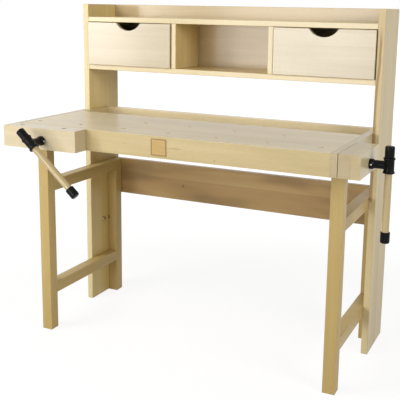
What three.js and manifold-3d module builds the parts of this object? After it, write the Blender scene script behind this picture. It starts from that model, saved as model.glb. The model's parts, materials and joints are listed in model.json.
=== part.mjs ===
// Woodworking bench with two screw vises, a tool tray and a hutch with two drawers.
// Millimetres, +Z up, front towards -Y. While it is built, X = 0 is the bench top's left end,
// Y = 0 the apron's front face and Z = 0 the floor; at the end the origin moves to the
// middle of the underside of the bounding box.

import * as THREE from 'three';
import { mergeVertices } from 'three/examples/jsm/utils/BufferGeometryUtils.js';
import Module from 'manifold-3d';

const wasm = await Module();
wasm.setup();

// Bench top and tool tray
const benchLength = 1240;
const benchHeight = 850;
const edgeHeight = 77;
const slabThickness = 25;
const slabRear = 388;
const apronThickness = 40;
const capThickness = 25;
const trayWidth = 168;
const trayBoard = 22;
const trayRail = 28;
const trayFloorThickness = 8;
const trayDepth = 62;
const dogHoleRadius = 9.5;
const dogHoleCount = 7;
const dogHoleFirst = 53;
const dogHolePitch = 185;
const dogRowFront = 82;
const dogRowRear = 242;

// Leg frames, stretcher and side panels
const panelThickness = 25;
const panelFront = 446;
const panelDepth = 222;
const panelHeight = 1290;
const legSize = 44;
const frontLegSetback = 94;
const rearLegSetback = 576;
const frameTop = 612;
const railHeight = 45;
const lowerRailBottom = 146;
const stretcherHeight = 157;
const stretcherThickness = 24;
const boltHeadRadius = 10;
const boltHeadLength = 7;
const boltSetback = 540;
const boltHeight = 346;

// Hutch and drawers
const shelfThickness = 20;
const backBoardRise = 52;
const bayHeight = 177;
const bayCount = 3;
const dividerThickness = 20;
const backBoardThickness = 18;
const drawerSideGap = 3;
const drawerTopGap = 2;
const drawerRunGap = 0.5;
const drawerBackGap = 8;
const drawerFrontThickness = 18;
const drawerProud = 7;
const drawerWall = 12;
const drawerFloor = 6;
const drawerSideDrop = 24.5;
const fingerWidth = 113;
const fingerDepth = 31;

// Vises
const screwDrop = 44;
const jawGap = 1;
const faceJawLength = 314;
const faceJawThickness = 64;
const faceScrewPlace = 170;
const faceRodSpread = 92;
const faceRodReach = 312;
const faceBearerSetback = 150;
const faceHandleTilt = 48;
const jawHoleSetback = 21;
const endJawLength = 232;
const endJawInner = 43;
const endJawOuter = 29;
const endRodSpread = 56;
const endRodReach = 362;
const endBearerSetback = 204;
const screwRadius = 9;
const screwReach = 250;
const rodRadius = 8;
const rodSeat = 46;
const bearerThickness = 30;
const bearerHeight = 46;
const bearerMargin = 26;
const nutWidth = 34;
const nutLength = 34;
const nutHeight = 34;

// Turning heads and handles
const hubReach = 62;
const hubBaseRadius = 17;
const hubBaseLength = 13;
const hubStemRadius = 13.5;
const hubSocket = 30;
const collarRadius = 16.5;
const collarFlangeRadius = 18.8;
const collarFlange = 6;
const collarLength = 50;
const pinRadius = 3;
const pinPlace = 6;
const pinProud = 1.5;
const handleLength = 316;
const dowelRadius = 12;
const handleCapRadius = 15.5;
const handleCapLength = 37;
const handleCapSocket = 27;
const handleCapRound = 6;

// Badge plate and fits
const badgeSize = 62;
const badgeThickness = 1.5;
const badgeCorner = 6;
const badgePlace = 612;
const runningGap = 0.09;
const seatGap = 0.3;
const overcut = 5;
const roundSides = 32;

// Places that follow from the sizes above
const slabUnderside = benchHeight - slabThickness;
const edgeUnderside = benchHeight - edgeHeight;
const screwHeight = benchHeight - screwDrop;
const slabLeft = capThickness;
const slabRight = benchLength - capThickness;
const trayRear = slabRear + trayWidth;
const benchRear = trayRear + trayRail;
const trayFloorTop = benchHeight - trayDepth;
const panelRear = panelFront + panelDepth;
const leftFrame = panelThickness;
const rightFrame = benchLength - legSize;
const shelfDepth = panelDepth - backBoardThickness;
const topShelfTop = panelHeight - backBoardRise;
const topShelfUnderside = topShelfTop - shelfThickness;
const bottomShelfTop = topShelfUnderside - bayHeight;
const hutchWidth = benchLength - panelThickness;
const bayWidth = (hutchWidth - (bayCount - 1) * dividerThickness) / bayCount;
const endJawThickness = endJawInner + endJawOuter;
const endScrewPlace = endJawLength / 2;

const materials = {
  wood: new THREE.MeshStandardMaterial({ color: 0xd9bd86, roughness: 0.45 }),
  top: new THREE.MeshStandardMaterial({ color: 0xd6c6a0, roughness: 0.3 }),
  steel: new THREE.MeshStandardMaterial({ color: 0xb9bcc0, roughness: 0.3, metalness: 0.9 }),
  black: new THREE.MeshStandardMaterial({ color: 0x17171a, roughness: 0.5 }),
  plate: new THREE.MeshStandardMaterial({ color: 0xd8bb70, roughness: 0.4 }),
};

const part = new THREE.Group();
part.name = 'woodworking_bench';

function add(name, geometry, material) {
  const mesh = new THREE.Mesh(geometry, material);
  mesh.name = name;
  part.add(mesh);
}

function block(x0, x1, y0, y1, z0, z1) {
  const geometry = new THREE.BoxGeometry(x1 - x0, y1 - y0, z1 - z0);
  geometry.translate((x0 + x1) / 2, (y0 + y1) / 2, (z0 + z1) / 2);
  return geometry;
}

// A round bar along Y from y0 to y1, on the Y axis.
function bar(radius, y0, y1) {
  const geometry = new THREE.CylinderGeometry(radius, radius, y1 - y0, roundSides);
  geometry.translate(0, (y0 + y1) / 2, 0);
  return geometry;
}

// A turned piece on the Y axis from [radius, y] corners, closed by the axis at both ends.
function turned(corners) {
  const points = corners.map(([radius, y]) => new THREE.Vector2(radius, y));
  return new THREE.LatheGeometry(points, roundSides);
}

function toSolid(geometry) {
  const plain = geometry.clone();
  plain.deleteAttribute('normal');
  plain.deleteAttribute('uv');
  const welded = mergeVertices(plain, 1e-5);
  const index = Array.from(welded.index.array);
  const kept = [];
  for (let i = 0; i < index.length; i += 3) {
    const [a, b, c] = index.slice(i, i + 3);
    if (a !== b && b !== c && c !== a) kept.push(a, b, c);
  }
  const mesh = new wasm.Mesh({
    numProp: 3,
    vertProperties: new Float32Array(welded.attributes.position.array),
    triVerts: new Uint32Array(kept),
  });
  return new wasm.Manifold(mesh);
}

function toGeometry(solid) {
  const mesh = solid.getMesh();
  const geometry = new THREE.BufferGeometry();
  geometry.setAttribute('position', new THREE.BufferAttribute(new Float32Array(mesh.vertProperties), 3));
  geometry.setIndex(Array.from(mesh.triVerts));
  geometry.computeVertexNormals();
  return geometry;
}

function join(...pieces) {
  return toGeometry(pieces.map(toSolid).reduce((sum, next) => sum.add(next)));
}

function cut(piece, ...tools) {
  return toGeometry(tools.map(toSolid).reduce((rest, tool) => rest.subtract(tool), toSolid(piece)));
}

function moved(geometry, x, y, z) {
  return geometry.clone().translate(x, y, z);
}

// A dog hole that passes through everything between z0 and z1.
function dogHole(x, y, z0, z1) {
  const hole = bar(dogHoleRadius, z0 - overcut, z1 + overcut);
  hole.rotateX(Math.PI / 2);
  return moved(hole, x, y, 0);
}

function dogPlace(i) {
  return dogHoleFirst + i * dogHolePitch;
}

// Each vise is built pointing along -Y, with its screw on the Y axis and the jaw's inner face at Y = -jawGap.
function throughFace(x) {
  return (geometry) => moved(geometry, x, 0, screwHeight);
}

function throughEnd(y) {
  return (geometry) => moved(geometry.clone().rotateZ(Math.PI / 2), benchLength, y, screwHeight);
}

const faceVise = throughFace(faceScrewPlace);
const endVise = throughEnd(endScrewPlace);
const faceRodOffsets = [-faceRodSpread, faceRodSpread];
const endRodOffsets = [-endRodSpread, endRodSpread];

function boreThrough(radius, reach, offset) {
  return moved(bar(radius + runningGap, -reach, reach), offset, 0, 0);
}

// The bores of one vise: the screw on the axis and the guide rods beside it.
function viseBores(place, offsets, reach) {
  const rods = offsets.map((offset) => boreThrough(rodRadius, reach, offset));
  return [boreThrough(screwRadius, reach, 0), ...rods].map(place);
}

// Bench top
const slabHoles = [];
for (let i = 0; i < dogHoleCount; i += 1) {
  slabHoles.push(dogHole(dogPlace(i), dogRowFront, slabUnderside, benchHeight));
  if (i < dogHoleCount - 1) slabHoles.push(dogHole(dogPlace(i), dogRowRear, slabUnderside, benchHeight));
}
add('top_slab', cut(
  block(slabLeft, slabRight, apronThickness, slabRear, slabUnderside, benchHeight),
  ...slabHoles,
), materials.top);
add('front_apron', cut(
  block(slabLeft, slabRight, 0, apronThickness, edgeUnderside, benchHeight),
  ...viseBores(faceVise, faceRodOffsets, apronThickness + overcut),
), materials.wood);
add('left_end_cap', block(0, capThickness, 0, panelFront, edgeUnderside, benchHeight), materials.wood);
add('right_end_cap', cut(
  block(slabRight, benchLength, 0, benchRear, edgeUnderside, benchHeight),
  ...viseBores(endVise, endRodOffsets, capThickness + overcut),
), materials.wood);

// Tool tray behind the slab
add('tray_front_board',
  block(slabLeft, slabRight, slabRear - trayBoard, slabRear, edgeUnderside, slabUnderside), materials.wood);
add('tray_left_side',
  block(slabLeft, slabLeft + trayBoard, slabRear, trayRear, edgeUnderside, benchHeight), materials.wood);
add('tray_back_rail', block(slabLeft, slabRight, trayRear, benchRear, edgeUnderside, benchHeight), materials.wood);
add('tray_floor', block(
  slabLeft + trayBoard, slabRight, slabRear, trayRear, trayFloorTop - trayFloorThickness, trayFloorTop,
), materials.wood);

// Leg frames: the right front leg is notched under the end cap and bored for the end vise's screw;
// the left one stands beside its cap.
function legFrame(side, x0) {
  const x1 = x0 + legSize;
  const frontEnd = frontLegSetback + legSize;
  const frontLeg = block(x0, x1, frontLegSetback, frontEnd, 0, slabUnderside);
  const reachesCap = x1 > slabRight;
  const notch = block(
    slabRight, benchLength + overcut, frontLegSetback - overcut, frontEnd + overcut,
    edgeUnderside, benchHeight,
  );
  const bores = viseBores(endVise, endRodOffsets, legSize + overcut);
  add(`${side}_front_leg`, reachesCap ? cut(frontLeg, notch, ...bores) : frontLeg, materials.wood);
  add(`${side}_rear_leg`,
    block(x0, x1, rearLegSetback, rearLegSetback + legSize, 0, frameTop), materials.wood);
  add(`${side}_upper_rail`,
    block(x0, x1, frontEnd, rearLegSetback, frameTop - railHeight, frameTop), materials.wood);
  add(`${side}_lower_rail`,
    block(x0, x1, frontEnd, rearLegSetback, lowerRailBottom, lowerRailBottom + railHeight), materials.wood);
}
legFrame('left', leftFrame);
legFrame('right', rightFrame);
const stretcherFront = rearLegSetback + legSize;
add('back_stretcher', block(
  panelThickness, benchLength, stretcherFront, stretcherFront + stretcherThickness,
  frameTop - stretcherHeight, frameTop,
), materials.wood);

// Side panels carry the hutch; the right one stands outside the bench top's end.
add('left_side_panel', block(0, panelThickness, panelFront, panelRear, 0, panelHeight), materials.wood);
add('right_side_panel', block(
  benchLength, benchLength + panelThickness, panelFront, panelRear, 0, panelHeight,
), materials.wood);
const boltHead = bar(boltHeadRadius, 0, boltHeadLength).rotateZ(-Math.PI / 2);
add('left_panel_bolt', moved(boltHead, panelThickness, boltSetback, boltHeight), materials.steel);

// Hutch
const shelfRear = panelFront + shelfDepth;
function shelf(name, top) {
  add(name, block(
    panelThickness, benchLength, panelFront, shelfRear, top - shelfThickness, top,
  ), materials.wood);
}
shelf('hutch_top_shelf', topShelfTop);
shelf('hutch_bottom_shelf', bottomShelfTop);
const bayStarts = Array.from({ length: bayCount }, (_, i) => panelThickness + i * (bayWidth + dividerThickness));
['left_divider', 'right_divider'].forEach((name, i) => {
  const x0 = bayStarts[i] + bayWidth;
  add(name, block(
    x0, x0 + dividerThickness, panelFront, shelfRear, bottomShelfTop, topShelfUnderside,
  ), materials.wood);
});
add('hutch_back_board', block(
  panelThickness, benchLength, shelfRear, shelfRear + backBoardThickness,
  bottomShelfTop - shelfThickness, panelHeight,
), materials.wood);

// Drawers: a front with a round finger cut, two sides, a back and a floor.
function drawer(side, bayStart) {
  const x0 = bayStart + drawerSideGap;
  const x1 = bayStart + bayWidth - drawerSideGap;
  const z0 = bottomShelfTop + drawerRunGap;
  const z1 = topShelfUnderside - drawerTopGap;
  const front = panelFront - drawerProud;
  const frontRear = front + drawerFrontThickness;
  const rear = shelfRear - drawerBackGap;
  const fingerRadius = (fingerWidth ** 2 / 4 + fingerDepth ** 2) / (2 * fingerDepth);
  const fingerCut = moved(
    bar(fingerRadius, front - overcut, frontRear + overcut),
    (x0 + x1) / 2, 0, z1 - fingerDepth + fingerRadius,
  );
  add(`${side}_drawer_front`, cut(block(x0, x1, front, frontRear, z0, z1), fingerCut), materials.wood);
  const sideTop = z1 - drawerSideDrop;
  add(`${side}_drawer_left_wall`, block(x0, x0 + drawerWall, frontRear, rear, z0, sideTop), materials.wood);
  add(`${side}_drawer_right_wall`, block(x1 - drawerWall, x1, frontRear, rear, z0, sideTop), materials.wood);
  const inner = [x0 + drawerWall, x1 - drawerWall];
  add(`${side}_drawer_back`, block(...inner, rear - drawerWall, rear, z0, sideTop), materials.wood);
  add(`${side}_drawer_floor`, block(...inner, frontRear, rear - drawerWall, z0, z0 + drawerFloor), materials.wood);
}
drawer('left', bayStarts[0]);
drawer('right', bayStarts[bayCount - 1]);

// The turning head: a barrel on the screw, a waisted stem and a cross collar for the handle.
function hub(face, tilt) {
  const turn = THREE.MathUtils.degToRad(tilt);
  const back = face - seatGap;
  const centre = face - hubReach;
  const barrel = turned([
    [0, centre],
    [hubStemRadius, centre],
    [hubStemRadius, back - hubBaseLength - (hubBaseRadius - hubStemRadius)],
    [hubBaseRadius, back - hubBaseLength],
    [hubBaseRadius, back],
    [0, back],
  ]);
  const half = collarLength / 2;
  const ring = half - collarFlange;
  const collar = turned([
    [0, -half],
    [collarFlangeRadius, -half],
    [collarFlangeRadius, -ring],
    [collarRadius, -ring + (collarFlangeRadius - collarRadius)],
    [collarRadius, ring - (collarFlangeRadius - collarRadius)],
    [collarFlangeRadius, ring],
    [collarFlangeRadius, half],
    [0, half],
  ]);
  const handleBore = bar(dowelRadius + runningGap, -half - overcut, half + overcut);
  const upright = (geometry) => moved(geometry.clone().rotateX(Math.PI / 2).rotateY(turn), 0, centre, 0);
  const socket = bar(screwRadius + runningGap, back - hubSocket, back + overcut);
  const pinHole = crossPin(face, pinRadius + runningGap, hubBaseRadius + overcut);
  return cut(join(barrel, upright(collar)), upright(handleBore), socket, pinHole);
}

function crossPin(face, radius, halfLength) {
  return moved(bar(radius, -halfLength, halfLength).rotateZ(Math.PI / 2), 0, face - pinPlace, 0);
}

// The handle lies along its own Y axis, sunk until the upper cap meets the collar.
function handlePieces(face, tilt) {
  const turn = THREE.MathUtils.degToRad(tilt);
  const capFoot = collarLength / 2 + seatGap;
  const upperEnd = capFoot + handleCapLength;
  const lowerEnd = upperEnd - handleLength;
  const wall = handleCapLength - handleCapSocket;
  const cap = cut(turned([
    [0, 0],
    [handleCapRadius, 0],
    [handleCapRadius, handleCapLength - handleCapRound],
    ...[1, 2, 3].map((i) => {
      const angle = (i * Math.PI) / 6;
      return [
        handleCapRadius - handleCapRound * (1 - Math.cos(angle)),
        handleCapLength - handleCapRound * (1 - Math.sin(angle)),
      ];
    }),
    [0, handleCapLength],
  ]), bar(dowelRadius + runningGap, -overcut, handleCapSocket));
  const lowerCap = moved(cap.clone().rotateX(Math.PI), 0, lowerEnd + handleCapLength, 0);
  const dowel = bar(dowelRadius, lowerEnd + wall + seatGap, upperEnd - wall - seatGap);
  const upright = (geometry) => {
    return moved(geometry.clone().rotateX(Math.PI / 2).rotateY(turn), 0, face - hubReach, 0);
  };
  return { dowel: upright(dowel), upperCap: upright(moved(cap, 0, capFoot, 0)), lowerCap: upright(lowerCap) };
}

// Everything of a vise but its jaw. depth is the thickness of the board that the nut sits behind.
function vise(name, place, spec) {
  const face = -jawGap - spec.jawThickness;
  const rodStart = -jawGap - rodSeat;
  const screwEnd = face - hubSocket;
  const screw = cut(
    bar(screwRadius, screwEnd, screwReach),
    crossPin(face, pinRadius + runningGap, screwRadius + overcut),
  );
  add(`${name}_screw`, place(screw), materials.steel);
  const ceiling = slabUnderside - screwHeight;
  add(`${name}_nut`, place(cut(
    block(-nutWidth / 2, nutWidth / 2, spec.depth, spec.depth + nutLength, ceiling - nutHeight, ceiling),
    boreThrough(screwRadius, spec.depth + nutLength + overcut, 0),
  )), materials.steel);
  spec.rodOffsets.forEach((offset, i) => {
    const rod = bar(rodRadius, rodStart, spec.rodReach);
    add(`${name}_rod_${i + 1}`, place(moved(rod, offset, 0, 0)), materials.steel);
  });
  const sides = [0, ...spec.rodOffsets];
  const bearerRear = spec.bearer + bearerThickness;
  const bearer = block(...spec.bearerSpan, spec.bearer, bearerRear, ceiling - bearerHeight, ceiling);
  const bores = sides.map((offset, i) => {
    return boreThrough(i === 0 ? screwRadius : rodRadius, bearerRear + overcut, offset);
  });
  add(`${name}_bearer`, place(cut(bearer, ...bores)), materials.wood);
  add(`${name}_hub`, place(hub(face, spec.tilt)), materials.black);
  add(`${name}_pin`, place(crossPin(face, pinRadius, hubBaseRadius + pinProud)), materials.steel);
  const { dowel, upperCap, lowerCap } = handlePieces(face, spec.tilt);
  add(`${name}_handle`, place(dowel), materials.wood);
  add(`${name}_upper_cap`, place(upperCap), materials.black);
  add(`${name}_lower_cap`, place(lowerCap), materials.black);
}

// Blind seats in the jaw for the guide rods, and its through bore for the screw.
function jawBores(offsets, thickness) {
  const seats = offsets.map((offset) => {
    return moved(bar(rodRadius + runningGap, -jawGap - rodSeat, overcut), offset, 0, 0);
  });
  return [boreThrough(screwRadius, thickness + jawGap + overcut, 0), ...seats];
}

// Face vise on the front apron
const faceJawFront = -jawGap - faceJawThickness;
const faceJawRow = -jawGap - jawHoleSetback;
const faceJawHoles = [0, 1].map((i) => dogHole(dogPlace(i), faceJawRow, edgeUnderside, benchHeight));
add('face_vise_jaw', cut(
  block(0, faceJawLength, faceJawFront, -jawGap, edgeUnderside, benchHeight),
  ...jawBores(faceRodOffsets, faceJawThickness).map(faceVise),
  ...faceJawHoles,
), materials.wood);
vise('face_vise', faceVise, {
  jawThickness: faceJawThickness,
  depth: apronThickness,
  rodOffsets: faceRodOffsets,
  rodReach: faceRodReach,
  bearer: faceBearerSetback,
  bearerSpan: [-faceRodSpread - bearerMargin, faceRodSpread + bearerMargin],
  tilt: -faceHandleTilt,
});

// End vise on the right end cap, its jaw glued up from two boards
const endJawStart = benchLength + jawGap;
const endJawMiddle = endJawStart + endJawInner;
const endJawBores = jawBores(endRodOffsets, endJawThickness).map(endVise);
add('end_vise_inner_jaw', cut(
  block(endJawStart, endJawMiddle, 0, endJawLength, edgeUnderside, benchHeight),
  ...endJawBores,
), materials.wood);
add('end_vise_outer_jaw', cut(
  block(endJawMiddle, endJawMiddle + endJawOuter, 0, endJawLength, edgeUnderside, benchHeight),
  ...endJawBores,
), materials.wood);
vise('end_vise', endVise, {
  jawThickness: endJawThickness,
  depth: legSize,
  rodOffsets: endRodOffsets,
  rodReach: endRodReach,
  bearer: endBearerSetback,
  bearerSpan: [apronThickness - endScrewPlace, endRodSpread + bearerMargin],
  tilt: 0,
});

// A bare badge plate on the apron
const corner = badgeSize / 2 - badgeCorner;
const plate = new THREE.Shape();
[0, 1, 2, 3].forEach((quarter) => {
  const start = (quarter * Math.PI) / 2;
  const sx = quarter === 0 || quarter === 3 ? 1 : -1;
  const sy = quarter < 2 ? 1 : -1;
  plate.absarc(sx * corner, sy * corner, badgeCorner, start, start + Math.PI / 2, false);
});
const badge = new THREE.ExtrudeGeometry(plate, { depth: badgeThickness, bevelEnabled: false, curveSegments: 6 });
badge.rotateX(Math.PI / 2);
add('badge_plate', moved(badge, badgePlace, 0, benchHeight - edgeHeight / 2), materials.plate);

// Move the origin to the middle of the bounding box's underside.
const bounds = new THREE.Box3();
part.children.forEach((mesh) => {
  mesh.geometry.computeBoundingBox();
  bounds.union(mesh.geometry.boundingBox);
});
const middle = bounds.getCenter(new THREE.Vector3());
part.children.forEach((mesh) => mesh.geometry.translate(-middle.x, -middle.y, -bounds.min.z));

export default part;
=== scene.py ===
"""Looks of a joiner's bench: pale varnished wood, black turning heads and bright steel."""
import itertools
import json
import math

import bmesh
import bpy
import numpy as np
from mathutils import Matrix, Vector


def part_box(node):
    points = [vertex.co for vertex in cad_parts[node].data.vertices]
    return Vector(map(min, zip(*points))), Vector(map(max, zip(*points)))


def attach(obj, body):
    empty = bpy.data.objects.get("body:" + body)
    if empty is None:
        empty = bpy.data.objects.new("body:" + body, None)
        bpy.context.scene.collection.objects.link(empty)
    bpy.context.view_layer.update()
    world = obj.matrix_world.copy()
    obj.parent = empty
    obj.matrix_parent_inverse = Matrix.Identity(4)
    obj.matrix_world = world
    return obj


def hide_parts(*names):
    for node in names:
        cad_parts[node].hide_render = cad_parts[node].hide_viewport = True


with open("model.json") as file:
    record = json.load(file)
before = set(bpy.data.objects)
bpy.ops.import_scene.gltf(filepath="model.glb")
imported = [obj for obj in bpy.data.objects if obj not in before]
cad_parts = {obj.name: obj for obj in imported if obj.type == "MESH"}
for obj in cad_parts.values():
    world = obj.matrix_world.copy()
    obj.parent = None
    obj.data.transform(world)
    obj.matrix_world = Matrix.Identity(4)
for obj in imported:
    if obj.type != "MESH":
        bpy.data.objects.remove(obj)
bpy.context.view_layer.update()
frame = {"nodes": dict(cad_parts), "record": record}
record = frame["record"]
joints = {joint["name"]: joint for joint in record["behaviour"]["joints"]}
body_of_node = {node: body for body, nodes in record["behaviour"]["bodies"].items() for node in nodes}

AXES = {"x": (1, 0, 0), "y": (0, 1, 0), "z": (0, 0, 1)}
MERGE_DISTANCE = 1e-6
FULL_TURN = 2 * np.pi

# Places of the colour sockets on a Mix node
COLOUR_FIRST = 6
COLOUR_SECOND = 7
COLOUR_RESULT = 2

# Edges of boards and plates, in metres like all sizes
EASED_EDGE = 0.0020
FLUSH_EDGE = 0.0007
JAW_EDGE = 0.0012
JAW_INSET = 0.0012
DRAWER_FLOOR_EDGE = 0.001
NUT_EDGE = 0.0015
BADGE_EDGE = 0.0004
BADGE_BORDER = 0.0022
EDGE_STEPS = 3
FLAT_ANGLE = math.radians(1)
SHARP_ANGLE = math.radians(35)
CRISP_ANGLE = math.radians(32)

# Vises: turning head, cross pin, handle with its caps, screw and guide rods
HUB_REACH = 0.062
HUB_BASE_RADIUS = 0.0170
HUB_BASE_LENGTH = 0.013
HUB_FOOT_ROUND = 0.0022
HUB_SHOULDER_ROUND = 0.002
HUB_STEM_RADIUS = 0.0135
HUB_STEM_START = HUB_BASE_LENGTH + 0.004
HUB_STEM_END = HUB_BASE_LENGTH + 0.012
SADDLE_FLARES = ((0.0, 0.003), (0.0006, 0.0015), (0.0016, 0.0))
SADDLE_LIMIT = 0.97
SADDLE_OVERLAP = 0.0006
COLLAR_RADIUS = 0.0165
COLLAR_LENGTH = 0.050
COLLAR_FILLET = 0.0006
COLLAR_FILLET_START = 0.0008
COLLAR_FILLET_END = 0.003
FLANGE_RADIUS = 0.0188
FLANGE_WIDTH = 0.006
FLANGE_ROUND = 0.001
PIN_RADIUS = 0.003
PIN_PLACE = 0.008
PIN_PROUD = 0.0015
PIN_DOME = 0.0008
SEAT_GAP = 0.0003
BORE_PLAY = 0.0001
HANDLE_LENGTH = 0.316
DOWEL_RADIUS = 0.012
DOWEL_CHAMFER = 0.0015
CAP_RADIUS = 0.0155
CAP_LENGTH = 0.037
CAP_SOCKET = 0.027
CAP_LIP = 0.0012
CAP_CROWN = 0.005
CAP_GROOVE_DEPTH = 0.0004
CAP_GROOVE = (0.0055, 0.006, 0.0066, 0.0071)
SCREW_RADIUS = 0.009
THREAD_LEAD = 0.006
THREAD_DEPTH = 0.0018
THREAD_SIDES = 40
THREAD_STEPS = 10
THREAD_ANGLE = math.radians(50)
GROOVE_SLOPE = 8
GROOVE_BREADTH = 2.6
PLAIN_LENGTH = 0.110
ROD_CHAMFER = 0.0012
ROUND_SIDES = 64

# Bolt head: shares of its radius and height, and the steps of its dome
BOLT_SOCKET = 0.42
BOLT_RIM = 0.25
BOLT_SOCKET_WALL = 0.45
BOLT_SOCKET_FLOOR = 0.35
BOLT_LIP = 0.0006
BOLT_DOME_STEPS = (0.3, 0.6, 0.85, 1)

# The photograph's camera: place, turn, tilt and roll, focal length and optical centre in its pixels
PHOTO_SIZE = 400
CAMERA_PLACE = Vector((1.1589, -2.4612, 1.2846))
CAMERA_TURN = 0.4260
CAMERA_TILT = 0.1876
CAMERA_ROLL = 0.0172
FOCAL_PIXELS = 750.5
OPTICAL_CENTRE = (224, 150)
SENSOR_WIDTH = 36
VIEW_DEPTH = 100

# Figure of the wood: scales along, across and through the grain, ranges of noise that show, and shares
STAVE_WIDTH = 0.047
STAVE_TONE_STEP = 7.31
STAVE_SHIFT = 9.0
BOARD_SHIFT = (3.7, 17, 0.61)
BOARD_SHIFT_ACROSS = 0.37
BAND_SCALE = (1.1, 24, 24)
BAND_RANGE = (0.30, 0.72)
BAND_SHARE = 0.32
FIBRE_SCALE = (7, 420, 420)
FIBRE_SHARE = 0.26
FIBRE_ROUGHNESS = 0.10
TONE_SHARE = 0.24
PORE_SCALE = (55, 1300, 1300)
PORE_RANGE = (0.60, 0.74)
PORE_SHARE = 0.28
PORE_SINK = 0.7
CLOUD_SCALE = (2.2, 9, 9)
CLOUD_RANGE = (0.42, 0.68)
CLOUD_SHADE = 0.62
RING_TURNS = 1500
RING_LEAN = 1.6
RING_WAVER = 0.004
RING_SHARE = 0.14
END_GRAIN_SHARE = 0.28
END_GRAIN_POWER = 4
END_GRAIN_ROUGHNESS = 0.15
EDGE_FADE = (0.0003, 0.0012)
MARK_FADE = (0.4, 1.0)
WOOD_SPECULAR = 0.3
WOOD_BUMP = (0.10, 0.0004)
PORE_BROWN = (0.36, 0.22, 0.09, 1)
END_GRAIN_BROWN = (0.40, 0.28, 0.13, 1)
MARK_BROWN = (0.15, 0.075, 0.025, 1)
# Heartwood brown, also the colour of the painted shadow on the right panel's front edge
HEARTWOOD_AND_SHADOW_BROWN = (0.31, 0.17, 0.06, 1)

# Heartwood streak, with painted shadow in its wide part below the bench top:
# foot and top, and heights above the foot between which its drift and half width change
STREAK_FOOT = 0.585
STREAK_TOP = 1.24
STREAK_DRIFT_HEIGHTS = (0.35, 0.55)
STREAK_DRIFT = (0.004, 0.013)
STREAK_WIDTH_HEIGHTS = (0.25, 0.33)
STREAK_WIDTH = (0.011, 0.006)
STREAK_WANDER_SCALE = (0, 0, 9)
STREAK_WANDER = 0.006
STREAK_FADE_IN = 0.02
STREAK_FADE_OUT = 0.08
STREAK_SOFTNESS = 0.6
STREAK_DEPTH = (0.004, 0.012)
STREAK_SHARE = 0.75

# Skin of the black pieces
BLACK_CLOUD_SCALE = 35
BLACK_WORN_RANGE = (0.35, 0.75)
BLACK_WORN_LIFT = 2.2
BLACK_WORN_ROUGHNESS = 0.08
BLACK_SPECULAR = 0.1
BLACK_BUMP = (0.08, 0.0003)

# Steel
TOOL_MARK_SCALE = (900, 900, 900)
TOOL_MARK_ROUGHNESS = 0.06
TOOL_MARK_BUMP = (0.05, 0.0002)
DULL_SCALE = 18
DULL_RANGE = (0.45, 0.75)
DULL_ROUGHNESS = 0.16
STEEL_ROUGHNESS = 0.22

# Badge: its line starts and ends at these multiples of the border
BADGE_LINE_START = (1, 1.25)
BADGE_LINE_END = (1.9, 2.15)
BADGE_LINE_SHARE = 0.9
BADGE_LINE_SINK = 0.5
BADGE_CLOUD_SCALE = (40, 40, 160)
BADGE_YELLOW = (0.62, 0.43, 0.15, 1)
BADGE_OCHRE = (0.48, 0.31, 0.09, 1)
BADGE_DARK = (0.035, 0.018, 0.008, 1)
BADGE_ROUGHNESS = 0.32
BADGE_CLOUD_ROUGHNESS = 0.1
BADGE_BUMP = (0.12, 0.0004)

# Stage
FLOOR_REACH = 30
FLOOR_SHADOW_REACH = (0.9, 2.4)
FLOOR_SHADOW_SHARE = 0.82
FLOOR_LIT = (0.50, 0.465, 0.40, 1)
FLOOR_SEEN = (0.95, 0.95, 0.95, 1)
FLOOR_WHITE = 1.06
WHITE = (1, 1, 1, 1)
WORLD_LIGHT = 0.24
WORLD_TINT = (1.0, 0.98, 0.95, 1)


def make_camera():
    """The photograph's camera: a view axis from turn and tilt, a roll about it and a shifted centre."""
    data = bpy.data.cameras.new("photo_camera")
    data.sensor_width = SENSOR_WIDTH
    data.lens = FOCAL_PIXELS * SENSOR_WIDTH / PHOTO_SIZE
    data.shift_x = (PHOTO_SIZE / 2 - OPTICAL_CENTRE[0]) / PHOTO_SIZE
    data.shift_y = (OPTICAL_CENTRE[1] - PHOTO_SIZE / 2) / PHOTO_SIZE
    data.clip_end = VIEW_DEPTH
    camera = bpy.data.objects.new("photo_camera", data)
    level = math.cos(CAMERA_TILT)
    ahead = Vector((-math.sin(CAMERA_TURN) * level, math.cos(CAMERA_TURN) * level, -math.sin(CAMERA_TILT)))
    right = Vector((math.cos(CAMERA_TURN), math.sin(CAMERA_TURN), 0))
    up = right.cross(ahead)
    rolled_right = right * math.cos(CAMERA_ROLL) + up * math.sin(CAMERA_ROLL)
    rolled_up = up * math.cos(CAMERA_ROLL) - right * math.sin(CAMERA_ROLL)
    turn = Matrix((rolled_right, rolled_up, -ahead)).transposed().to_4x4()
    camera.matrix_world = Matrix.Translation(CAMERA_PLACE) @ turn
    bpy.context.scene.collection.objects.link(camera)
    bpy.context.scene.camera = camera


make_camera()


class Shade:
    """A shader socket that adds Math nodes when it is used in an expression."""

    def __init__(self, net, socket):
        self.net = net
        self.socket = socket

    def math(self, operation, first, second):
        """A Math node over two numbers."""
        return self.net.node("ShaderNodeMath", {"operation": operation}, {0: first, 1: second})

    def __add__(self, other):
        return self.math("ADD", self, other)

    def __sub__(self, other):
        return self.math("SUBTRACT", self, other)

    def __rsub__(self, other):
        return self.math("SUBTRACT", other, self)

    def __mul__(self, other):
        return self.math("MULTIPLY", self, other)

    def __truediv__(self, other):
        return self.math("DIVIDE", self, other)

    __radd__ = __add__
    __rmul__ = __mul__


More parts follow.
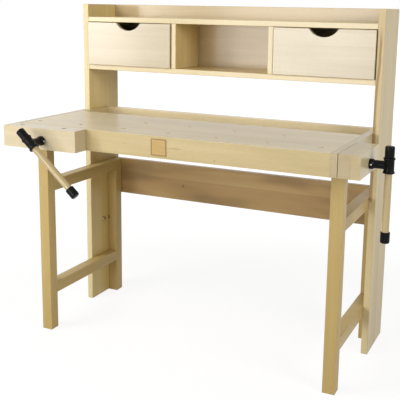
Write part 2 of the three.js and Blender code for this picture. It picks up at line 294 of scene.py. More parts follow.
class Net:
    """The node tree of one material, or of the world, with its first shader."""

    def __init__(self, name, owners=bpy.data.materials, shader="Principled BSDF"):
        self.material = owners.new(name)
        self.material.use_nodes = True
        self.tree = self.material.node_tree
        self.shader = self.tree.nodes[shader]

    def node(self, kind, settings=None, sockets=None, out=0):
        """Adds a node, sets its settings first and then the values or links of its sockets."""
        made = self.tree.nodes.new(kind)
        for key, value in (settings or {}).items():
            setattr(made, key, value)
        for key, value in (sockets or {}).items():
            self.feed(made.inputs[key], value)
        return Shade(self, made.outputs[out])

    def feed(self, socket, value):
        """Links a shade to a socket, or sets a plain value on it."""
        if isinstance(value, Shade):
            self.tree.links.new(value.socket, socket)
        else:
            socket.default_value = value

    def surface(self, **values):
        """Feeds the first shader's sockets, named with underscores for spaces."""
        for key, value in values.items():
            self.feed(self.shader.inputs[key.replace("_", " ")], value)

    def output(self, name, shader):
        """Links a shader to the output node of the given name."""
        self.tree.links.new(shader.socket, self.tree.nodes[name].inputs["Surface"])

    def place(self):
        """The place on the piece, in the part's own frame."""
        return self.node("ShaderNodeTexCoord", {}, out="Object")

    def scaled(self, vector, factors):
        """A vector times three factors."""
        return self.node("ShaderNodeVectorMath", {"operation": "MULTIPLY"}, {0: vector, 1: factors})

    def length(self, vector):
        """How long a vector is."""
        return self.node("ShaderNodeVectorMath", {"operation": "LENGTH"}, {0: vector}, out="Value")

    def size_of(self, value):
        """A number without its sign."""
        return self.node("ShaderNodeMath", {"operation": "ABSOLUTE"}, {0: value})

    def smaller(self, first, second):
        """The smaller of two numbers."""
        return self.node("ShaderNodeMath", {"operation": "MINIMUM"}, {0: first, 1: second})

    def noise(self, vector, scale=1.0, detail=2.0, roughness=0.5, distortion=0.0):
        """Soft noise between 0 and 1 at a place."""
        return self.node("ShaderNodeTexNoise", {}, {
            "Vector": vector, "Scale": scale, "Detail": detail,
            "Roughness": roughness, "Distortion": distortion})

    def spread(self, value, low, high, to_low=0.0, to_high=1.0):
        """A smooth step from one number to another while the value runs from low to high."""
        return self.node("ShaderNodeMapRange", {"interpolation_type": "SMOOTHSTEP"}, {
            "Value": value, "From Min": low, "From Max": high, "To Min": to_low, "To Max": to_high})

    def mix(self, share, first, second):
        """A colour that goes from the first to the second with the share."""
        sockets = {0: share, COLOUR_FIRST: first, COLOUR_SECOND: second}
        return self.node("ShaderNodeMix", {"data_type": "RGBA"}, sockets, out=COLOUR_RESULT)

    def mix_shader(self, share, first, second):
        """A shader that goes from the first to the second with the share."""
        return self.node("ShaderNodeMixShader", {}, {0: share, 1: first, 2: second})

    def parts(self, vector):
        """The three numbers of a vector."""
        outputs = self.node("ShaderNodeSeparateXYZ", {}, {0: vector}).socket.node.outputs
        return [Shade(self, output) for output in outputs]

    def bump(self, height, strength, distance):
        """A normal that leans with the slope of a height."""
        return self.node("ShaderNodeBump", {}, {"Height": height, "Strength": strength, "Distance": distance})

    def seen_rays(self):
        """One for a ray of the camera, a reflection or a see-through material, and zero for lighting."""
        rays = self.node("ShaderNodeLightPath").socket.node.outputs
        kinds = ("Camera", "Glossy", "Transmission")
        camera, glossy, through = (Shade(self, rays[f"Is {kind} Ray"]) for kind in kinds)
        return camera.math("MAXIMUM", camera, glossy.math("MAXIMUM", glossy, through))

    def heartwood_and_shadow_streak(self, place, inner, front, low, high):
        """How much dark heartwood and painted shadow show on a panel's front edge: a band with soft sides and
        ends that hugs the inner side, drifts outward higher up and fades with depth. Its wide part below the
        bench top is painted shadow cast by the bench's end, its narrow part higher up is heartwood."""
        across, depth, up = self.parts(place)
        drift = self.spread(up, *(low + height for height in STREAK_DRIFT_HEIGHTS), *STREAK_DRIFT)
        wander = self.noise(self.scaled(place, STREAK_WANDER_SCALE), detail=2)
        wander = wander * STREAK_WANDER - STREAK_WANDER / 2
        width = self.spread(up, *(low + height for height in STREAK_WIDTH_HEIGHTS), *STREAK_WIDTH)
        off_centre = self.size_of(across - inner - drift - wander)
        band = self.spread(1 - self.smaller(off_centre / width, 1.0), 0.0, STREAK_SOFTNESS)
        ends = self.spread(up, low, low + STREAK_FADE_IN)
        ends = ends * (1 - self.spread(up, high - STREAK_FADE_OUT, high))
        return band * ends * (1 - self.spread(depth - front, *STREAK_DEPTH)) * STREAK_SHARE


def shaded(colour, factor):
    """A colour with its three parts times a factor."""
    return (*(factor * part for part in colour[:3]), 1)


def varnished_wood(
        name, pale, warm, coat=0.15, coat_roughness=0.2, roughness=0.38, clouds=0.15,
        marks=(), heartwood_and_shadow=None, painted_lit_face=None):
    """Glued staves of pale wood: each has its own tone, with growth bands, fibres and pores along the grain.
    A mark is a dark ellipsoid of given centre and half sizes, for a knot, a short grain line or a dark spot.
    A painted lit face gives one face, square to an axis at a given place, paler colours of painted light."""
    net = Net(name)
    grain = net.node("ShaderNodeAttribute", {"attribute_name": "grain"}, out="Vector")
    end_grain = net.node("ShaderNodeAttribute", {"attribute_name": "end_grain"}, out="Fac")
    along, across, through = net.parts(grain)
    stave = net.node("ShaderNodeMath", {"operation": "FLOOR"}, {0: across / STAVE_WIDTH})
    tone = net.node("ShaderNodeTexWhiteNoise", {"noise_dimensions": "1D"}, {"W": stave * STAVE_TONE_STEP})
    shifted = net.node("ShaderNodeCombineXYZ", {}, {0: along + tone * STAVE_SHIFT, 1: across, 2: through})
    bands = net.noise(net.scaled(shifted, BAND_SCALE), detail=3, distortion=0.7)
    fibres = net.noise(net.scaled(shifted, FIBRE_SCALE), detail=3, roughness=0.6)
    pores = net.spread(net.noise(net.scaled(shifted, PORE_SCALE), detail=1), *PORE_RANGE)
    cloud = net.spread(net.noise(net.scaled(grain, CLOUD_SCALE), detail=2), *CLOUD_RANGE)
    depth = net.spread(bands, *BAND_RANGE) * BAND_SHARE + fibres * FIBRE_SHARE + tone * TONE_SHARE
    place = net.place()
    colour = net.mix(depth, pale, warm)
    # Painted light: one face, square to an axis, gets paler colours as if lit more
    if painted_lit_face:
        axis, face, lit_pale, lit_warm = painted_lit_face
        off_face = net.size_of(net.parts(place)[axis] - face)
        colour = net.mix(net.spread(off_face, *EDGE_FADE), net.mix(depth, lit_pale, lit_warm), colour)
    colour = net.mix(cloud * clouds, colour, shaded(warm, CLOUD_SHADE))
    colour = net.mix(pores * PORE_SHARE, colour, PORE_BROWN)
    lean = tone * RING_LEAN - RING_LEAN / 2
    rings = net.node("ShaderNodeMath", {"operation": "SINE"}, {
        0: (across * lean + through + bands * RING_WAVER) * RING_TURNS})
    colour = net.mix(end_grain * (END_GRAIN_SHARE + rings * RING_SHARE), colour, END_GRAIN_BROWN)
    for centre, half_sizes, strength in marks:
        away = net.node("ShaderNodeVectorMath", {"operation": "SUBTRACT"}, {0: place, 1: centre})
        away = net.node("ShaderNodeVectorMath", {"operation": "DIVIDE"}, {0: away, 1: half_sizes})
        colour = net.mix(net.spread(net.length(away), *MARK_FADE, strength, 0.0), colour, MARK_BROWN)
    # Heartwood streak; its wide part below the bench top is painted shadow
    if heartwood_and_shadow:
        colour = net.mix(net.heartwood_and_shadow_streak(place, *heartwood_and_shadow), colour, HEARTWOOD_AND_SHADOW_BROWN)
    net.surface(
        Base_Color=colour,
        Roughness=roughness + fibres * FIBRE_ROUGHNESS + end_grain * END_GRAIN_ROUGHNESS,
        Specular_IOR_Level=WOOD_SPECULAR, Coat_Weight=coat, Coat_Roughness=coat_roughness,
        Normal=net.bump(fibres - pores * PORE_SINK, *WOOD_BUMP))
    return net.material


def satin_black(name, tint, roughness, pebbles):
    """Moulded or powder-coated black with a fine pebbled skin and a soft change of gloss."""
    net = Net(name)
    place = net.place()
    skin = net.noise(place, scale=pebbles, detail=2)
    cloud = net.noise(place, scale=BLACK_CLOUD_SCALE, detail=3)
    worn = net.spread(cloud, *BLACK_WORN_RANGE)
    net.surface(
        Base_Color=net.mix(worn, tint, shaded(tint, BLACK_WORN_LIFT)),
        Roughness=roughness + worn * BLACK_WORN_ROUGHNESS, Specular_IOR_Level=BLACK_SPECULAR,
        Normal=net.bump(skin, *BLACK_BUMP))
    return net.material


def bright_steel(name, clean, stained):
    """Turned steel with fine tool marks and a few dull patches."""
    net = Net(name)
    place = net.place()
    marks = net.noise(net.scaled(place, TOOL_MARK_SCALE), detail=2)
    dull = net.spread(net.noise(place, scale=DULL_SCALE, detail=3), *DULL_RANGE)
    net.surface(
        Base_Color=net.mix(dull, clean, stained), Metallic=1.0,
        Roughness=STEEL_ROUGHNESS + dull * DULL_ROUGHNESS + marks * TOOL_MARK_ROUGHNESS,
        Normal=net.bump(marks, *TOOL_MARK_BUMP))
    return net.material


def badge_face(name, low, high):
    """A bare plate of yellow lacquer with a thin dark line at a set distance from its nearest edge."""
    net = Net(name)
    place = net.place()
    across, _, up = net.parts(place)
    beside = net.smaller(across - low[0], high[0] - across)
    inside = net.smaller(beside, net.smaller(up - low[2], high[2] - up))
    line = net.spread(inside, *(BADGE_BORDER * times for times in BADGE_LINE_START))
    line = line * (1 - net.spread(inside, *(BADGE_BORDER * times for times in BADGE_LINE_END)))
    cloud = net.noise(net.scaled(place, BADGE_CLOUD_SCALE), detail=3)
    lacquer = net.mix(cloud, BADGE_YELLOW, BADGE_OCHRE)
    net.surface(
        Base_Color=net.mix(line * BADGE_LINE_SHARE, lacquer, BADGE_DARK),
        Roughness=BADGE_ROUGHNESS + cloud * BADGE_CLOUD_ROUGHNESS,
        Normal=net.bump(cloud - line * BADGE_LINE_SINK, *BADGE_BUMP))
    return net.material


# Marks: centre, half sizes and strength
apron_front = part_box("front_apron")[0].y
stretcher_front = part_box("back_stretcher")[0].y
leg_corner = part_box("left_rear_leg")[0]
panel_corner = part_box("right_side_panel")[0]
GRAIN_LINE = ((-0.021, apron_front, 0.8123), (0.034, 0.010, 0.0012), 0.75)
PIN_KNOT = ((0.127, apron_front, 0.786), (0.004, 0.010, 0.0025), 0.6)
STRETCHER_KNOT = ((-0.3134, stretcher_front, 0.5185), (0.009, 0.020, 0.011), 0.5)
# A dark spot on the left rear leg's front left corner
LEG_DARK_SPOT = ((leg_corner.x + 0.001, leg_corner.y, 0.345), (0.010, 0.012, 0.015), 0.85)
# Right panel's front edge: heartwood streak, with painted shadow below the bench top
HEARTWOOD_AND_SHADOW = (panel_corner.x, panel_corner.y, STREAK_FOOT, STREAK_TOP)

# Colours of the wood, and the faces painted paler as painted light and sheen: axis, place on it, pale and
# warm
PALE = (0.745, 0.625, 0.365, 1)
WARM = (0.600, 0.455, 0.210, 1)
# Painted sheen: the bench top's colours are paler and greyer than the other boards, and the apron's top face
# takes them too
TOP_SHEEN_PALE = (0.86, 0.76, 0.55, 1)
TOP_SHEEN_WARM = (0.73, 0.605, 0.40, 1)
APRON_TOP_PAINTED_SHEEN = (2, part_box("front_apron")[1].z, TOP_SHEEN_PALE, TOP_SHEEN_WARM)
# Painted light: the front edges of the left panel and of the hutch's dividers and shelves
PANEL_EDGE_PAINTED_LIGHT = (1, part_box("left_side_panel")[0].y, (0.90, 0.79, 0.50, 1), (0.76, 0.61, 0.30, 1))
HUTCH_EDGE_PAINTED_LIGHT = (1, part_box("left_divider")[0].y, (0.86, 0.75, 0.50, 1), (0.74, 0.605, 0.335, 1))

board_wood = varnished_wood("board_wood", PALE, WARM)
hutch_wood = varnished_wood(
    "hutch_wood", pale=(0.77, 0.62, 0.31, 1), warm=(0.64, 0.475, 0.18, 1), coat=0.6, painted_lit_face=HUTCH_EDGE_PAINTED_LIGHT)
panel_wood = varnished_wood(
    "panel_wood", pale=(0.81, 0.65, 0.30, 1), warm=(0.65, 0.47, 0.165, 1), coat=0.2, painted_lit_face=PANEL_EDGE_PAINTED_LIGHT)
apron_wood = varnished_wood(
    "apron_wood", pale=(0.680, 0.560, 0.315, 1), warm=(0.530, 0.395, 0.165, 1),
    marks=[GRAIN_LINE, PIN_KNOT], painted_lit_face=APRON_TOP_PAINTED_SHEEN)
cap_wood = varnished_wood(
    "cap_wood", pale=(0.68, 0.585, 0.385, 1), warm=(0.53, 0.42, 0.235, 1), coat=0.35, roughness=0.36)
jaw_wood = varnished_wood(
    "jaw_wood", pale=(0.72, 0.62, 0.385, 1), warm=(0.58, 0.46, 0.235, 1), coat=0.35, roughness=0.36)
# Painted light: a paler copy of the wood for the tray's back rail, brighter than its lamps make it
lit_tray_wood = varnished_wood(
    "lit_tray_wood", pale=(0.86, 0.76, 0.52, 1), warm=(0.75, 0.62, 0.36, 1), coat=0.4)
pale_jaw_wood = varnished_wood(
    "pale_jaw_wood", pale=(0.75, 0.65, 0.44, 1), warm=(0.63, 0.51, 0.295, 1), coat=0.7)
front_wood = varnished_wood(
    "front_wood", pale=(0.665, 0.585, 0.425, 1), warm=(0.555, 0.45, 0.28, 1), coat=1.0)
back_wood = varnished_wood(
    "back_wood", pale=(0.61, 0.485, 0.28, 1), warm=(0.48, 0.355, 0.175, 1), coat=1.0)
# Bench top in its paler colours of painted sheen
top_wood = varnished_wood("top_wood", TOP_SHEEN_PALE, TOP_SHEEN_WARM, coat=0.25)
# Painted shade: a darker, more saturated copy of the wood for the legs and rails under the bench
shaded_leg_wood = varnished_wood(
    "shaded_leg_wood", pale=(0.650, 0.500, 0.220, 1), warm=(0.490, 0.335, 0.105, 1), coat=0.05, marks=[LEG_DARK_SPOT])
# Partly a browner board, partly painted shade: the dark base and strong clouds stand in for the shade under
# the bench top
stretcher_wood_and_shade = varnished_wood(
    "stretcher_wood_and_shade", pale=(0.575, 0.395, 0.175, 1), warm=(0.41, 0.25, 0.088, 1), coat=0.3, clouds=0.75,
    marks=[STRETCHER_KNOT])
streaked_wood = varnished_wood("streaked_wood", PALE, WARM, heartwood_and_shadow=HEARTWOOD_AND_SHADOW)
dowel_wood = varnished_wood(
    "dowel_wood", pale=(0.60, 0.475, 0.235, 1), warm=(0.44, 0.32, 0.13, 1), coat=1.0, coat_roughness=0.07)
black_metal = satin_black("black_metal", tint=(0.0040, 0.0040, 0.0046, 1), roughness=0.16, pebbles=900)
black_plastic = satin_black("black_plastic", tint=(0.0045, 0.0045, 0.0049, 1), roughness=0.12, pebbles=1500)
steel = bright_steel("steel", clean=(0.66, 0.66, 0.67, 1), stained=(0.52, 0.52, 0.54, 1))
browned_steel = bright_steel("browned_steel", clean=(0.34, 0.25, 0.13, 1), stained=(0.22, 0.15, 0.07, 1))


def quads(rows, columns):
    """Faces of a grid whose columns close on themselves."""
    row, column = np.meshgrid(np.arange(rows - 1), np.arange(columns), indexing="ij")
    after = (column + 1) % columns
    near = row * columns
    far = near + columns
    return np.stack([near + column, near + after, far + after, far + column], -1).reshape(-1, 4)


def end_rings(rows, columns):
    """The first and last row of such a grid, as rings that face outward."""
    ring = np.arange(columns)
    return [ring[::-1], ring + (rows - 1) * columns]


def mesh_from(name, points, faces):
    """A smooth mesh with its doubles merged and its faces turned outward."""
    mesh = bpy.data.meshes.new(name)
    mesh.from_pydata(points.tolist(), [], [face.tolist() for face in faces])
    work = bmesh.new()
    work.from_mesh(mesh)
    bmesh.ops.remove_doubles(work, verts=work.verts, dist=MERGE_DISTANCE)
    bmesh.ops.recalc_face_normals(work, faces=work.faces)
    work.to_mesh(mesh)
    work.free()
    mesh.polygons.foreach_set("use_smooth", np.ones(len(mesh.polygons), bool))
    mesh.update()
    return mesh


def vertex_places(mesh):
    """All points of a mesh as one array."""
    places = np.empty(len(mesh.vertices) * 3, np.float32)
    mesh.vertices.foreach_get("co", places)
    return places.reshape(-1, 3)


def node_box(node):
    """The low and high corner of a node's box."""
    return [np.array(corner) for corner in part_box(node)]


def add_piece(mesh, name, material, *nodes):
    """Puts a finished mesh into the scene for the nodes it stands for."""
    piece = bpy.data.objects.new(name, mesh)
    mesh.materials.append(material)
    bpy.context.scene.collection.objects.link(piece)
    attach(piece, body_of_node[nodes[0]])
    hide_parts(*nodes)
    return piece


board_numbers = itertools.count(1)


def lay_grain(mesh, along, across):
    """Stores each point's place along, across and through the board, moved by a new amount for each board,
    and how squarely its surface cuts across the grain."""
    number = next(board_numbers)
    along, across = np.array(along, float), np.array(across, float)
    basis = np.stack([along, across, np.cross(along, across)], 1)
    far, staves, deep = (step * number for step in BOARD_SHIFT)
    shift = np.array([far, STAVE_WIDTH * (staves + BOARD_SHIFT_ACROSS), deep])
    values = (vertex_places(mesh) @ basis + shift).astype(np.float32)
    mesh.attributes.new("grain", "FLOAT_VECTOR", "POINT").data.foreach_set("vector", values.ravel())
    normals = np.empty(len(mesh.vertices) * 3, np.float32)
    mesh.vertex_normals.foreach_get("vector", normals)
    squareness = (np.abs(normals.reshape(-1, 3) @ along) ** END_GRAIN_POWER).astype(np.float32)
    mesh.attributes.new("end_grain", "FLOAT", "POINT").data.foreach_set("value", squareness)


def rounded_board(name, grain, width, material=board_wood, edge=EASED_EDGE):
    """A box with round edges: a sphere's grid of normals, each octant pushed out to its corner of the box."""
    low, high = node_box(name)
    per_quarter = EDGE_STEPS + 1
    quarter = np.linspace(0, np.pi / 2, per_quarter)
    turn = np.concatenate([quarter + i * np.pi / 2 for i in range(4)])
    side_x = np.repeat([1, -1, -1, 1], per_quarter)
    side_y = np.repeat([1, 1, -1, -1], per_quarter)
    rise = np.concatenate([quarter - np.pi / 2, quarter])
    side_z = np.repeat([-1, 1], per_quarter)
    columns, rows = len(turn), len(rise)
    normal = np.stack([
        np.outer(np.cos(rise), np.cos(turn)), np.outer(np.cos(rise), np.sin(turn)),
        np.outer(np.sin(rise), np.ones(columns))], -1)
    sides = np.stack([
        np.tile(side_x, (rows, 1)), np.tile(side_y, (rows, 1)), np.tile(side_z[:, None], (1, columns))], -1)
    points = (low + high) / 2 + sides * ((high - low) / 2 - edge) + edge * normal
    corners = [ring[::per_quarter] for ring in end_rings(rows, columns)]
    mesh = mesh_from(name, points.reshape(-1, 3), [*quads(rows, columns), *corners])
    places = vertex_places(mesh)
    outward = (places - np.clip(places, low + edge, high - edge)) / edge
    mesh.normals_split_custom_set_from_vertices(outward.tolist())
    lay_grain(mesh, AXES[grain], AXES[width])
    add_piece(mesh, f"{name}_board", material, name)


def bored_board(name, grain, width, material=board_wood, edge=EASED_EDGE, inset=0.0):
    """A board with bores or cuts: a merged copy of the node's solid whose sharp edges and rims are eased.
    Its left face is drawn back by the inset, which widens the dark line beside it."""
    mesh = frame["nodes"][name].data.copy()
    mesh.materials.clear()
    work = bmesh.new()
    work.from_mesh(mesh)
    bmesh.ops.remove_doubles(work, verts=work.verts, dist=MERGE_DISTANCE)
    left = min(point.co.x for point in work.verts)
    for point in work.verts:
        if point.co.x - left < FLUSH_EDGE:
            point.co.x += inset
    bmesh.ops.dissolve_limit(
        work, angle_limit=FLAT_ANGLE, use_dissolve_boundaries=False, verts=work.verts, edges=work.edges)
    sharp = [line for line in work.edges if line.is_manifold and line.calc_face_angle() > SHARP_ANGLE]
    bmesh.ops.bevel(
        work, geom=sharp, offset=edge, offset_type="OFFSET", segments=EDGE_STEPS, profile=0.5,
        affect="EDGES", clamp_overlap=True)
    bmesh.ops.triangulate(work, faces=[face for face in work.faces if len(face.verts) > 4])
    work.to_mesh(mesh)
    work.free()
    mesh.polygons.foreach_set("use_smooth", np.ones(len(mesh.polygons), bool))
    lay_grain(mesh, AXES[grain], AXES[width])
    piece = add_piece(mesh, f"{name}_board", material, name)
    flat = piece.modifiers.new("flat_faces", "WEIGHTED_NORMAL")
    flat.weight = 100


def side_of(direction):
    """Two unit directions square to the given one and to each other."""
    steep = abs(direction[2]) >= 0.7
    helper = np.array([1.0, 0, 0]) if steep else np.array([0, 0, 1.0])
    first = np.cross(helper, direction)
    first /= np.linalg.norm(first)
    return first, np.cross(direction, first)


def circle(first, second, sides=ROUND_SIDES):
    """Points of a unit circle in the plane of two directions."""
    turn = np.linspace(0, FULL_TURN, sides, endpoint=False)
    return np.cos(turn)[:, None] * first + np.sin(turn)[:, None] * second


def turned_mesh(name, profile, start, direction):
    """A turned form: each (radius, distance) of the profile is carried round the axis.
    Ends on the axis close by merging."""
    profile = np.array(profile, float)
    direction = np.array(direction, float)
    ring = circle(*side_of(direction))
    points = np.array(start) + profile[:, None, 1:] * direction + profile[:, None, :1] * ring
    return mesh_from(name, points.reshape(-1, 3), quads(len(profile), ROUND_SIDES))


def add_crisp(mesh, name, material, node, angle=CRISP_ANGLE):
    """Adds a piece that keeps crisp edges where faces meet at more than the angle."""
    add_piece(mesh, name, material, node).data.set_sharp_from_angle(angle=angle)


def arc(centre_radius, centre_distance, radius, start, end, count=4):
    """Points of a round corner in a profile, between two angles in degrees."""
    angles = np.radians(np.linspace(start, end, count))
    return [
        (centre_radius + radius * math.cos(angle), centre_distance + radius * math.sin(angle))
        for angle in angles]


def barrel_rings(face, out, ring, lateral):
    """Rings of the head's barrel: its turned profile, then three that follow the collar's round side,
    where the reach is the collar's axis less the height of its circle over each point of the ring."""
    foot, shoulder = HUB_FOOT_ROUND, HUB_SHOULDER_ROUND
    profile = [
        (SCREW_RADIUS, SEAT_GAP), (HUB_BASE_RADIUS - foot, SEAT_GAP),
        *arc(HUB_BASE_RADIUS - foot, SEAT_GAP + foot, foot, -90, 0, 5),
        *arc(HUB_BASE_RADIUS - shoulder, HUB_BASE_LENGTH - shoulder, shoulder, 0, 60),
        (HUB_STEM_RADIUS, HUB_STEM_START), (HUB_STEM_RADIUS, HUB_STEM_END)]
    rings = [face + out * distance + ring * radius for radius, distance in profile]
    for flare, sink in SADDLE_FLARES:
        radius = HUB_STEM_RADIUS + flare
        beside = np.minimum(np.abs(radius * lateral), COLLAR_RADIUS * SADDLE_LIMIT)
        saddle = np.sqrt(COLLAR_RADIUS ** 2 - beside ** 2)
        reach = HUB_REACH - saddle - sink + SADDLE_OVERLAP
        rings.append(face + reach[:, None] * out + ring * radius)
    return rings


def collar_profile():
    """Radius and distance along the cross collar: a bore, two rounded rims and a waist with small fillets."""
    half = COLLAR_LENGTH / 2
    bore = DOWEL_RADIUS + BORE_PLAY
    rim = half - FLANGE_WIDTH
    rounding = FLANGE_ROUND
    fillet = COLLAR_RADIUS + COLLAR_FILLET
    return [
        (bore, -half),
        *arc(FLANGE_RADIUS - rounding, -half + rounding, rounding, -90, 0),
        *arc(FLANGE_RADIUS - rounding, -rim - rounding, rounding, 0, 70),
        (fillet, -rim + COLLAR_FILLET_START), (COLLAR_RADIUS, -rim + COLLAR_FILLET_END),
        (COLLAR_RADIUS, rim - COLLAR_FILLET_END), (fillet, rim - COLLAR_FILLET_START),
        *arc(FLANGE_RADIUS - rounding, rim + rounding, rounding, -70, 0),
        *arc(FLANGE_RADIUS - rounding, half - rounding, rounding, 0, 90),
        (bore, half), (bore, -half)]


def make_hub(vise):
    """The turning head: a barrel with a rounded foot runs into a saddle on the cross collar."""
    screw_turn = joints[f"{vise}_screw_turn"]
    out = np.array(screw_turn["axis"], float)
    face = np.array(screw_turn["pos_m"], float)
    up = np.array(joints[f"{vise}_handle_slide"]["axis"], float)
    across = np.cross(up, out)
    middle = face + out * HUB_REACH
    lateral = np.cos(np.linspace(0, FULL_TURN, ROUND_SIDES, endpoint=False))
    barrel = barrel_rings(face, out, circle(across, up), lateral)
    barrel_points = np.concatenate(barrel)
    collar = collar_profile()
    collar_ring = circle(across, out)
    collar_points = np.concatenate([
        middle + up * distance + collar_ring * radius for radius, distance in collar])
    faces = [*quads(len(barrel), ROUND_SIDES), *(quads(len(collar), ROUND_SIDES) + len(barrel_points))]
    mesh = mesh_from(f"{vise}_head", np.concatenate([barrel_points, collar_points]), faces)
    add_crisp(mesh, f"{vise}_head", black_metal, f"{vise}_hub")
    make_pin(vise, face, out)
    make_handle(vise, middle, up)


def make_pin(vise, face, out):
    """The steel cross pin through the head's foot, with domed ends."""
    end, dome = HUB_BASE_RADIUS + PIN_PROUD, PIN_DOME
    profile = [
        (0, -end), *arc(PIN_RADIUS - dome, -end + dome, dome, -90, 0),
        *arc(PIN_RADIUS - dome, end - dome, dome, 0, 90), (0, end)]
    pin_side = np.cross(np.array(AXES["z"], float), out)
    mesh = turned_mesh(f"{vise}_cross_pin", profile, face + out * PIN_PLACE, pin_side)
    add_crisp(mesh, f"{vise}_cross_pin", steel, f"{vise}_pin")


def make_handle(vise, middle, up):
    """A wooden dowel through the collar, sunk until its upper cap meets the rim, with a cap on each end."""
    cap_foot = COLLAR_LENGTH / 2 + SEAT_GAP
    top = cap_foot + CAP_LENGTH
    bottom = top - HANDLE_LENGTH
    wall = CAP_LENGTH - CAP_SOCKET + SEAT_GAP
    chamfer = DOWEL_CHAMFER
    dowel = [
        (0, bottom + wall), (DOWEL_RADIUS - chamfer, bottom + wall), (DOWEL_RADIUS, bottom + wall + chamfer),
        (DOWEL_RADIUS, top - wall - chamfer), (DOWEL_RADIUS - chamfer, top - wall), (0, top - wall)]
    mesh = turned_mesh(f"{vise}_dowel", dowel, middle, up)
    lay_grain(mesh, up, side_of(up)[0])
    add_crisp(mesh, f"{vise}_dowel", dowel_wood, f"{vise}_handle")
    bore = DOWEL_RADIUS + BORE_PLAY
    groove = CAP_RADIUS - CAP_GROOVE_DEPTH
    cap = [
        (0, CAP_SOCKET), (bore, CAP_SOCKET), (bore, 0.0),
        *arc(CAP_RADIUS - CAP_LIP, CAP_LIP, CAP_LIP, -90, 0),
        *zip((CAP_RADIUS, groove, groove, CAP_RADIUS), CAP_GROOVE),
        *arc(CAP_RADIUS - CAP_CROWN, CAP_LENGTH - CAP_CROWN, CAP_CROWN, 0, 80, 7), (0, CAP_LENGTH)]
    for end, foot, way in (("upper", cap_foot, 1), ("lower", bottom + CAP_LENGTH, -1)):
        mesh = turned_mesh(f"{vise}_{end}_end", cap, middle + up * foot, up * way)
        add_crisp(mesh, f"{vise}_{end}_end", black_plastic, f"{vise}_{end}_cap")


def make_screw(vise):
    """A round bar whose radius dips once a lead along a helix, fading to plain bar at the head."""
    low, high = node_box(f"{vise}_screw")
    out = np.array(joints[f"{vise}_screw_turn"]["axis"], float)
    length = float(np.abs((high - low) @ out))
    steps = int(length / THREAD_LEAD * THREAD_STEPS)
    distance = np.linspace(-length / 2, length / 2, steps)
    turn = np.linspace(0, FULL_TURN, THREAD_SIDES, endpoint=False)
    phase = (distance[:, None] / THREAD_LEAD - turn[None, :] / FULL_TURN) % 1
    groove = np.clip(GROOVE_BREADTH - np.abs(phase - 0.5) * GROOVE_SLOPE, 0, 1)
    plain = np.clip((length / 2 - PLAIN_LENGTH - distance) / THREAD_LEAD, 0, 1)[:, None]
    radius = SCREW_RADIUS - THREAD_DEPTH * groove * plain
    ring = circle(*side_of(out), THREAD_SIDES)
    points = (low + high) / 2 + distance[:, None, None] * out + radius[:, :, None] * ring
    faces = [*quads(steps, THREAD_SIDES), *end_rings(steps, THREAD_SIDES)]
    mesh = mesh_from(f"{vise}_threaded_bar", points.reshape(-1, 3), faces)
    add_crisp(mesh, f"{vise}_threaded_bar", steel, f"{vise}_screw", THREAD_ANGLE)


def make_rod(node):
    """A plain guide rod with chamfered ends."""
    low, high = node_box(node)
    way = np.eye(3)[np.argmax(high - low)]
    length = float((high - low) @ way)
    radius = float(np.min(high - low)) / 2
    chamfer = ROD_CHAMFER
    profile = [
        (0, 0), (radius - chamfer, 0), (radius, chamfer),
        (radius, length - chamfer), (radius - chamfer, length), (0, length)]
    start = (low + high) / 2 - way * length / 2
    add_crisp(turned_mesh(f"{node}_bar", profile, start, way), f"{node}_bar", steel, node)


def make_bolt_head():
    """A low head with a round socket, on the left panel's inner face. Its dome follows a quarter sine."""
    low, high = node_box("left_panel_bolt")
    radius = float(high[2] - low[2]) / 2
    length = float(high[0] - low[0])
    socket = radius * BOLT_SOCKET
    slope = radius - socket - BOLT_LIP
    rises = [BOLT_RIM + (1 - BOLT_RIM) * math.sin(step * math.pi / 2) for step in BOLT_DOME_STEPS]
    profile = [
        (0, 0), (radius, 0), (radius, length * BOLT_RIM),
        *((radius - slope * step, length * rise) for step, rise in zip(BOLT_DOME_STEPS, rises)),
        (socket, length), (socket, length * BOLT_SOCKET_WALL), (0, length * BOLT_SOCKET_FLOOR)]
    start = np.array((low[0], (low[1] + high[1]) / 2, (low[2] + high[2]) / 2))
    mesh = turned_mesh("bolt_head", profile, start, AXES["x"])
    add_crisp(mesh, "bolt_head", browned_steel, "left_panel_bolt")


def make_badge():
    """The badge stays bare: a thin plate with eased edges."""
    bored_board("badge_plate", "x", "z", badge_face("badge_face", *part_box("badge_plate")), BADGE_EDGE)


# Boards with their grain and width directions; their order sets each board's grain
for side in ("left", "right"):
    rounded_board(f"{side}_rear_leg", "z", "x", shaded_leg_wood)
    rounded_board(f"{side}_upper_rail", "y", "z", shaded_leg_wood)
    rounded_board(f"{side}_lower_rail", "y", "z", shaded_leg_wood)
    rounded_board(f"{side}_divider", "z", "y", hutch_wood)
    bored_board(f"{side}_drawer_front", "x", "z", front_wood)
    rounded_board(f"{side}_drawer_left_wall", "y", "z")
    rounded_board(f"{side}_drawer_right_wall", "y", "z")
    rounded_board(f"{side}_drawer_back", "x", "z")
    rounded_board(f"{side}_drawer_floor", "x", "y", edge=DRAWER_FLOOR_EDGE)
rounded_board("left_side_panel", "z", "y", panel_wood)
rounded_board("right_side_panel", "z", "y", streaked_wood)
rounded_board("left_front_leg", "z", "x", shaded_leg_wood)
bored_board("right_front_leg", "z", "x", shaded_leg_wood)
rounded_board("back_stretcher", "x", "z", stretcher_wood_and_shade)
rounded_board("hutch_top_shelf", "x", "y", hutch_wood)
rounded_board("hutch_bottom_shelf", "x", "y", hutch_wood)
rounded_board("hutch_back_board", "x", "z", back_wood)
bored_board("top_slab", "x", "y", top_wood, FLUSH_EDGE)
bored_board("front_apron", "x", "z", apron_wood, FLUSH_EDGE)
rounded_board("left_end_cap", "y", "z", cap_wood, FLUSH_EDGE)
bored_board("right_end_cap", "y", "z", cap_wood, FLUSH_EDGE)
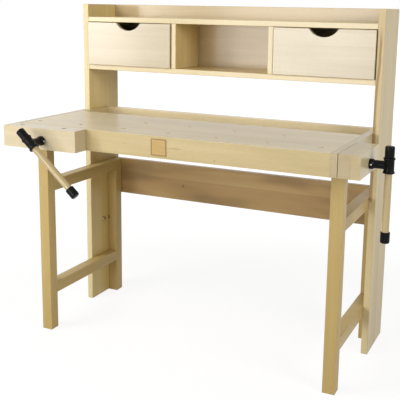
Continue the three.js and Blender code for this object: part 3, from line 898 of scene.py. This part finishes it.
rounded_board("tray_front_board", "x", "z")
rounded_board("tray_left_side", "y", "z", edge=FLUSH_EDGE)
rounded_board("tray_back_rail", "x", "z", lit_tray_wood)
rounded_board("tray_floor", "x", "y", edge=FLUSH_EDGE)
bored_board("face_vise_jaw", "x", "z", pale_jaw_wood)
bored_board("end_vise_inner_jaw", "y", "z", cap_wood, FLUSH_EDGE, inset=JAW_INSET)
bored_board("end_vise_outer_jaw", "y", "z", jaw_wood, JAW_EDGE)
bored_board("face_vise_bearer", "x", "z")
bored_board("end_vise_bearer", "y", "z")

for vise in ("face_vise", "end_vise"):
    make_hub(vise)
    make_screw(vise)
    make_rod(f"{vise}_rod_1")
    make_rod(f"{vise}_rod_2")
    bored_board(f"{vise}_nut", "z", "x", black_metal, NUT_EDGE)
make_bolt_head()
make_badge()


def stage_floor():
    """White to the camera apart from the bench's soft shadow, and clear from below; to other rays plain."""
    mesh = bpy.data.meshes.new("floor")
    reach = FLOOR_REACH
    corners = [(-reach, -reach, 0), (reach, -reach, 0), (reach, reach, 0), (-reach, reach, 0)]
    mesh.from_pydata(corners, [], [(0, 1, 2, 3)])
    net = Net("floor_white")
    net.tree.nodes.remove(net.shader)
    seen = net.seen_rays()
    away = net.length(net.place())
    share = seen * net.spread(away, *FLOOR_SHADOW_REACH, FLOOR_SHADOW_SHARE, 1.0)
    diffuse = net.node("ShaderNodeBsdfDiffuse", {}, {"Color": net.mix(seen, FLOOR_LIT, FLOOR_SEEN)})
    white = net.node("ShaderNodeEmission", {}, {"Color": WHITE, "Strength": FLOOR_WHITE})
    underside = net.node("ShaderNodeNewGeometry", {}, out="Backfacing")
    clear = net.node("ShaderNodeBsdfTransparent")
    net.output("Material Output", net.mix_shader(underside, net.mix_shader(share, diffuse, white), clear))
    mesh.materials.append(net.material)
    floor = bpy.data.objects.new("floor", mesh)
    bpy.context.scene.collection.objects.link(floor)


def white_world():
    """White where it is seen or reflected, and a plain dim light on everything else."""
    net = Net("studio", bpy.data.worlds, "Background")
    net.surface(Color=WORLD_TINT, Strength=WORLD_LIGHT)
    plain = Shade(net, net.shader.outputs[0])
    white = net.node("ShaderNodeBackground", {}, {"Color": WHITE, "Strength": 1.0})
    net.output("World Output", net.mix_shader(net.seen_rays(), plain, white))
    bpy.context.scene.world = net.material


def soft_lamp(name, place, aim, width, height, power):
    """A flat soft box of the given size, turned towards a point of the bench."""
    data = bpy.data.lights.new(name, "AREA")
    data.shape = "RECTANGLE"
    data.size = width
    data.size_y = height
    data.energy = power
    lamp = bpy.data.objects.new(name, data)
    lamp.location = place
    lamp.rotation_euler = (Vector(aim) - Vector(place)).to_track_quat("-Z", "Y").to_euler()
    bpy.context.scene.collection.objects.link(lamp)


stage_floor()
white_world()
soft_lamp("left_softbox", place=(-2.9, -3.1, 1.2), aim=(0, 0.1, 1.0), width=0.8, height=1.0, power=23)
soft_lamp("front_softbox", place=(-0.9, -3.1, 1.1), aim=(0.05, 0.1, 1.0), width=1.5, height=1.1, power=31)
soft_lamp("high_softbox", place=(-2.2, -1.8, 2.6), aim=(-0.1, 0.1, 0.95), width=1.6, height=1.6, power=46)
soft_lamp("right_softbox", place=(3.4, -1.4, 2.0), aim=(0.3, 0, 0.8), width=1.6, height=1.6, power=56)
soft_lamp("rear_softbox", place=(-1.6, 3.2, 3.4), aim=(-0.1, 0.3, 0.9), width=1.8, height=1.8, power=26)
bpy.context.scene.view_settings.view_transform = "Standard"
